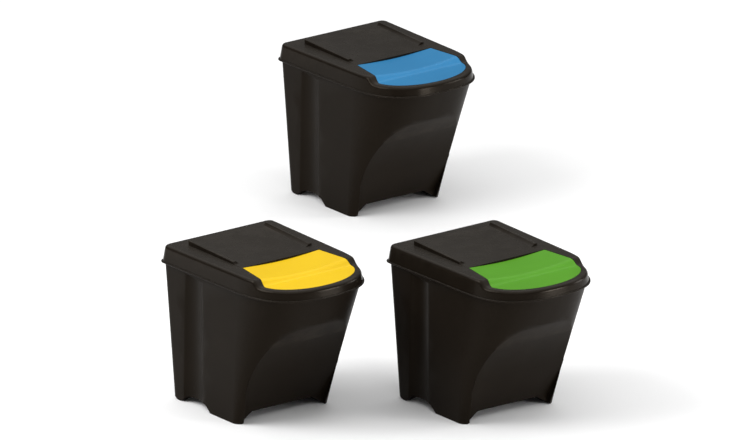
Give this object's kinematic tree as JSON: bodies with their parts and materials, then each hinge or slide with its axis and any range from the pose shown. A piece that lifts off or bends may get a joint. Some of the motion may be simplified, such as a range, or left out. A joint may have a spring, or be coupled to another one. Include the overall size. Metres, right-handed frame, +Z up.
{
  "type": "sorting bin set",
  "caption": "Set of free-standing stackable household sorting bins, each a drafted dark plastic tub with feet and a front scoop, a railed lid and a tinted flap that swings up.",
  "frame": {"origin": "bottom centre of the set's bounding box, on the floor", "axes": "+X across the bins to the right as seen from the front, +Y to the rear, +Z up; every bin's flap faces -Y"},
  "size_m": [1.257, 1.574, 0.3365],
  "materials": {
    "shell_plastic": "fine satin",
    "lid_plastic": "satin",
    "yellow_plastic": "satin gloss",
    "green_plastic": "satin gloss",
    "blue_plastic": "satin gloss"
  },
  "bodies": {
    "yellow_tub_body": {"yellow_tub": "shell_plastic"},
    "yellow_lid_body": {"yellow_lid": "lid_plastic"},
    "yellow_flap_body": {"yellow_flap": "yellow_plastic"},
    "green_tub_body": {"green_tub": "shell_plastic"},
    "green_lid_body": {"green_lid": "lid_plastic"},
    "green_flap_body": {"green_flap": "green_plastic"},
    "blue_tub_body": {"blue_tub": "shell_plastic"},
    "blue_lid_body": {"blue_lid": "lid_plastic"},
    "blue_flap_body": {"blue_flap": "blue_plastic"}
  },
  "joints": [
    {"name": "yellow_lid_lift", "type": "slide", "parent": "yellow_tub_body", "child": "yellow_lid_body", "axis": [0, 0, 1], "range_m": [0, 0.2]},
    {"name": "yellow_flap_hinge", "type": "hinge", "parent": "yellow_lid_body", "child": "yellow_flap_body", "pos_m": [-0.4855, -0.349, 0.324], "axis": [-1, 0, 0], "range_deg": [0, 88]},
    {"name": "green_bin_lift", "type": "slide", "parent": "yellow_tub_body", "child": "green_tub_body", "axis": [0, 0, 1], "range_m": [0, 0.4]},
    {"name": "green_lid_lift", "type": "slide", "parent": "green_tub_body", "child": "green_lid_body", "axis": [0, 0, 1], "range_m": [0, 0.2]},
    {"name": "green_flap_hinge", "type": "hinge", "parent": "green_lid_body", "child": "green_flap_body", "pos_m": [-0.1245, -0.621, 0.324], "axis": [-1, 0, 0], "range_deg": [0, 88]},
    {"name": "blue_bin_lift", "type": "slide", "parent": "yellow_tub_body", "child": "blue_tub_body", "axis": [0, 0, 1], "range_m": [0, 0.4]},
    {"name": "blue_lid_lift", "type": "slide", "parent": "blue_tub_body", "child": "blue_lid_body", "axis": [0, 0, 1], "range_m": [0, 0.2]},
    {"name": "blue_flap_hinge", "type": "hinge", "parent": "blue_lid_body", "child": "blue_flap_body", "pos_m": [0.4855, 0.561, 0.324], "axis": [-1, 0, 0], "range_deg": [0, 88]}
  ]
}
